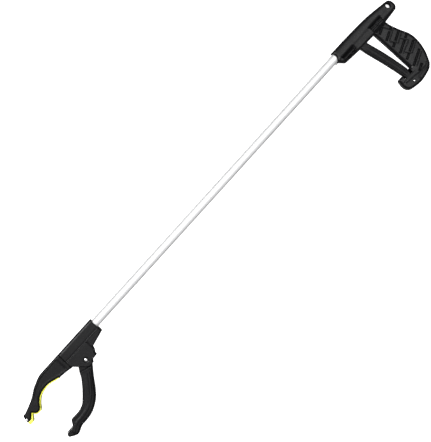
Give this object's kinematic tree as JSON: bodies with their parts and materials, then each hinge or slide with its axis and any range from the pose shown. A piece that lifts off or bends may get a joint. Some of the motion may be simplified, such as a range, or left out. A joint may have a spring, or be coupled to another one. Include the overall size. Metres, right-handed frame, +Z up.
{
  "type": "reacher grabber",
  "caption": "Long-handled reaching tool: a straight metal tube with a pistol grip and squeeze trigger at one end and a rubber-lined pincer jaw at the other.",
  "frame": {"origin": "centre of the overall box in plan, on the surface that the tool lies on", "axes": "+X along the tube towards the handle, +Y away from the grip and the moving jaw, +Z up out of the tool's left side"},
  "size_m": [0.813, 0.1254, 0.028],
  "materials": {
    "tube": "clear anodised, satin, drawn along its length",
    "plug": "natural nylon",
    "steel": "zinc-plated wire",
    "screw": "dark zinc",
    "bright_pin": "bright nickel plate",
    "handle": "black moulded, fine satin grain",
    "trigger": "black moulded, satin",
    "jaw": "black glass-filled moulding, satin",
    "liner": "soft lemon-yellow rubber",
    "pad": "soft black rubber"
  },
  "bodies": {
    "frame": {"outer_tube": "tube", "tube_plug_head": "plug", "tube_plug_handle": "plug", "return_spring": "steel", "handle_shell_left": "handle", "handle_shell_right": "handle", "trigger_pivot_pin": "bright_pin", "fixed_jaw": "jaw", "fixed_jaw_liner": "liner", "tip_magnet": "bright_pin", "head_cover_left": "handle", "head_cover_right": "handle", "jaw_pivot_rivet": "bright_pin", "handle_screw_1": "screw", "handle_screw_2": "screw", "handle_screw_3": "screw", "handle_screw_4": "screw", "handle_screw_5": "screw", "head_screw_1": "screw", "head_screw_2": "screw", "head_screw_3": "screw", "tube_screw_handle": "screw", "tube_screw_head": "screw"},
    "trigger_lever": {"trigger": "trigger"},
    "rod": {"pull_rod": "steel", "rod_barrel_head": "steel", "rod_barrel_handle": "steel", "spring_washer": "steel"},
    "jaw": {"moving_jaw": "jaw", "moving_jaw_pad": "pad"}
  },
  "joints": [
    {"name": "trigger_squeeze", "type": "hinge", "parent": "frame", "child": "trigger_lever", "pos_m": [0.3427, -0.05445, 0.014], "axis": [0, 0, -1], "range_deg": [0, 6.75], "stiffness_Nm_per_rad": 2.4, "springref_deg": -3.44},
    {"name": "rod_pull", "type": "slide", "parent": "frame", "child": "rod", "axis": [1, 0, 0], "range_m": [0, 0.0127], "deforming": ["return_spring"]},
    {"name": "jaw_close", "type": "hinge", "parent": "frame", "child": "jaw", "pos_m": [-0.2807, 0.02685, 0.014], "axis": [0, 0, -1], "range_deg": [0, 27]}
  ],
  "couplings": [
    {"joint": "rod_pull", "follows": "trigger_squeeze", "m_per_rad": 0.1078},
    {"joint": "jaw_close", "follows": "trigger_squeeze", "ratio": 4}
  ]
}
